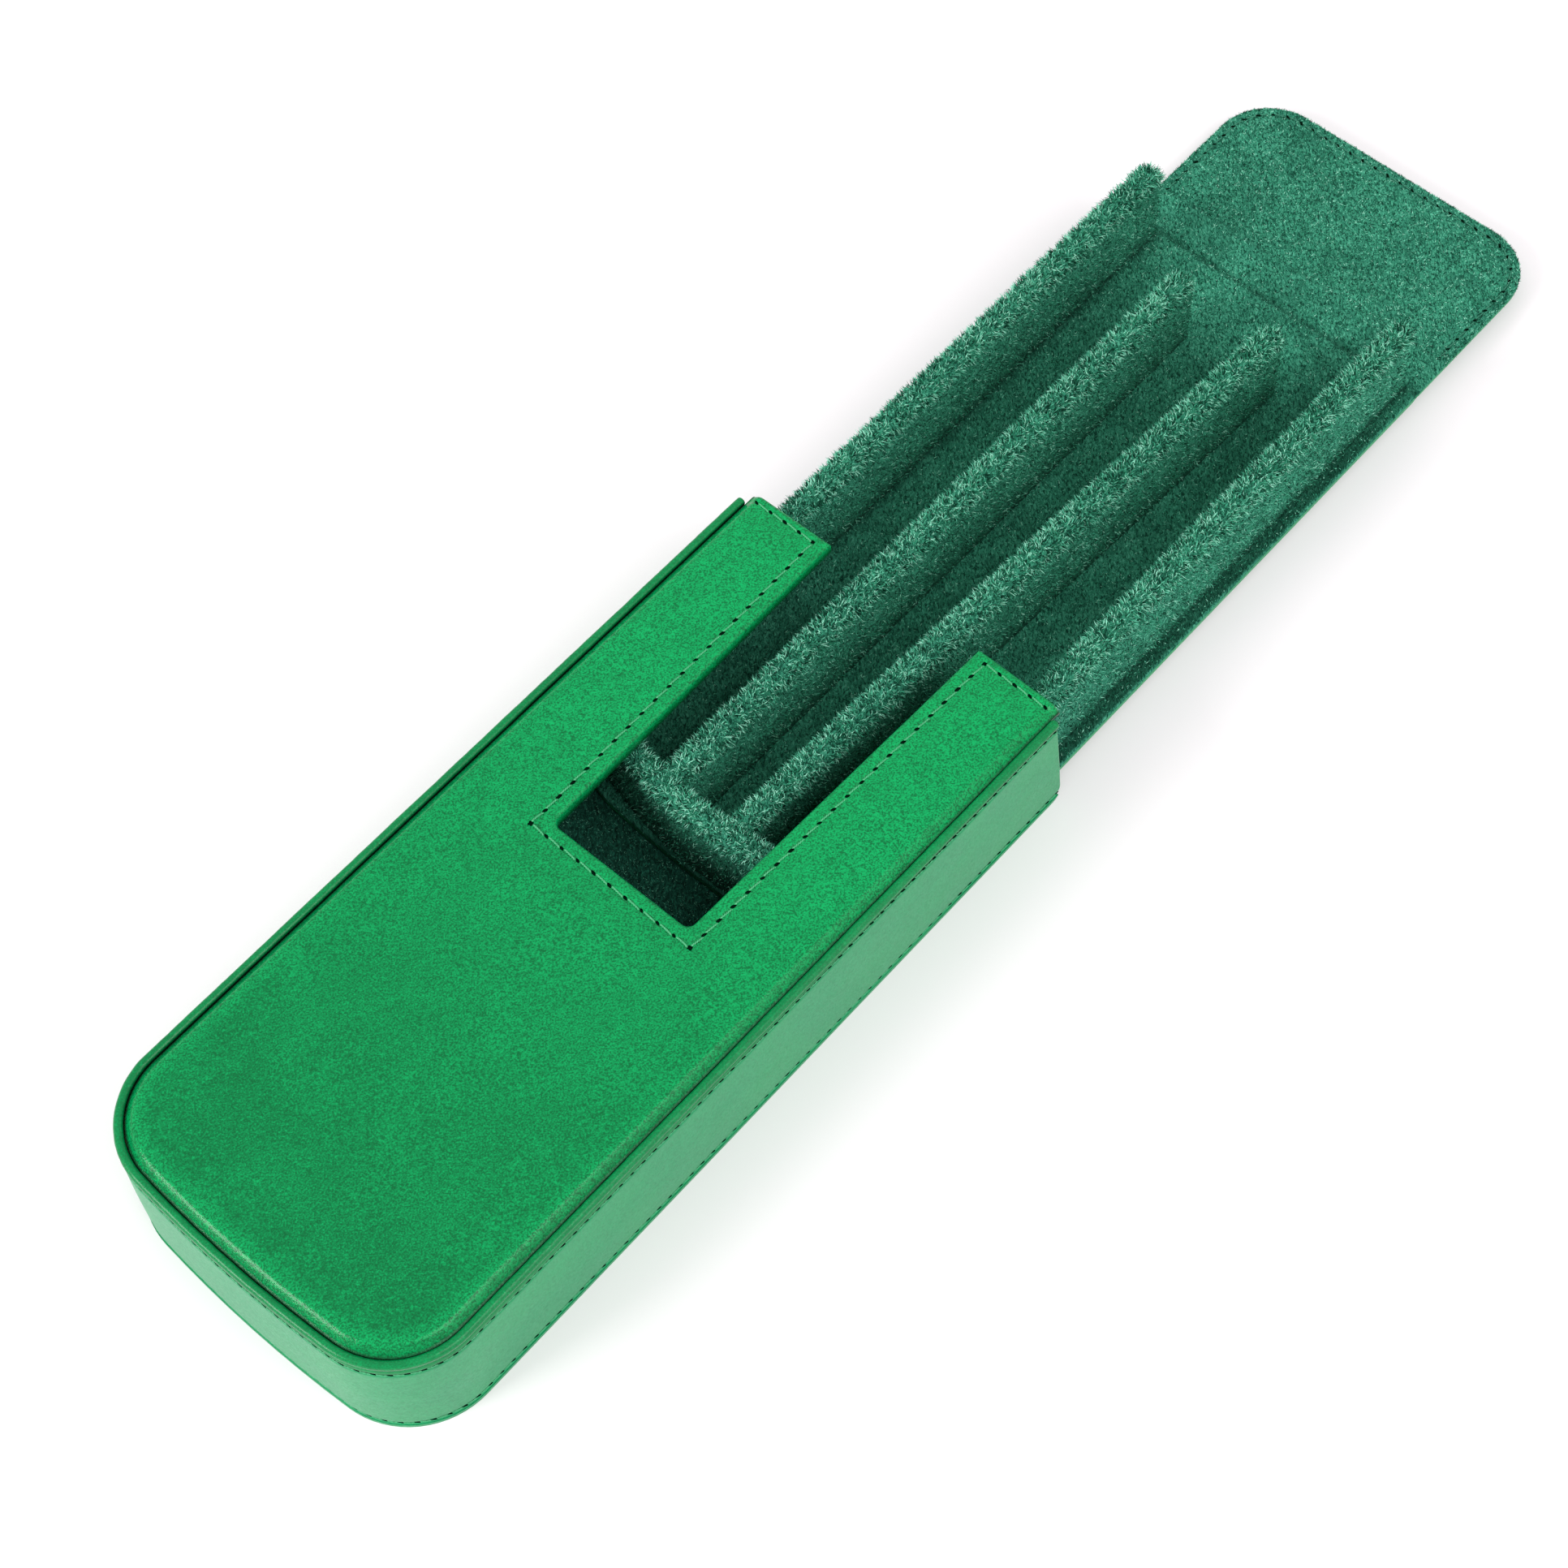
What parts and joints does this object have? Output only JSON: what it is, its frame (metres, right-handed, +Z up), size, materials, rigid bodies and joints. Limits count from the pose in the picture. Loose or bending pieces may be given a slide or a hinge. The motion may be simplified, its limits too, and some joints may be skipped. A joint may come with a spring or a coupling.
{
  "type": "pen case",
  "caption": "Pen case: a padded leather sleeve with a cut-away top, holding a sliding suede-lined tray with dividers and a fold-over end flap.",
  "frame": {"origin": "middle of the sleeve's flat underside", "axes": "+X along the case towards the mouth and the flap, +Y across it, +Z up"},
  "size_m": [0.307, 0.0716, 0.0274],
  "materials": {
    "cover_leather": "smooth pull-up leather, bright green",
    "piping_leather": "rolled leather piping, bright green",
    "piping_cord": "twisted cotton cord",
    "board": "grey-brown stiffening board",
    "padding": "thin felt padding",
    "lining_suede": "short-napped suede lining, dark green",
    "tray_suede": "long-napped suede, sea green"
  },
  "bodies": {
    "sleeve": {"bottom_leather": "cover_leather", "bottom_board": "board", "bottom_lining": "lining_suede", "side_leather": "cover_leather", "side_board": "board", "side_lining": "lining_suede", "top_lining": "lining_suede", "top_board": "board", "top_padding": "padding", "top_leather": "cover_leather", "piping_leather": "piping_leather", "piping_cord": "piping_cord"},
    "tray": {"tray_floor_leather": "cover_leather", "tray_floor_board": "board", "tray_floor_suede": "tray_suede", "tray_wall_core": "board", "tray_wall_suede": "tray_suede", "left_divider_core": "board", "left_divider_suede": "tray_suede", "right_divider_core": "board", "right_divider_suede": "tray_suede"},
    "flap_riser": {"flap_riser_leather": "cover_leather", "flap_riser_board": "board", "flap_riser_suede": "tray_suede"},
    "flap_tongue": {"flap_tongue_leather": "cover_leather", "flap_tongue_board": "board", "flap_tongue_suede": "tray_suede"}
  },
  "joints": [
    {"name": "tray_slide", "type": "slide", "parent": "sleeve", "child": "tray", "axis": [1, 0, 0], "range_m": [-0.1031, 0.043]},
    {"name": "flap_fold", "type": "hinge", "parent": "tray", "child": "flap_riser", "pos_m": [0.1864, 0, 0.00415], "axis": [0, -1, 0], "range_deg": [0, 90]},
    {"name": "tongue_fold", "type": "hinge", "parent": "flap_riser", "child": "flap_tongue", "pos_m": [0.2047, 0, 0.00415], "axis": [0, -1, 0], "range_deg": [0, 90]}
  ]
}
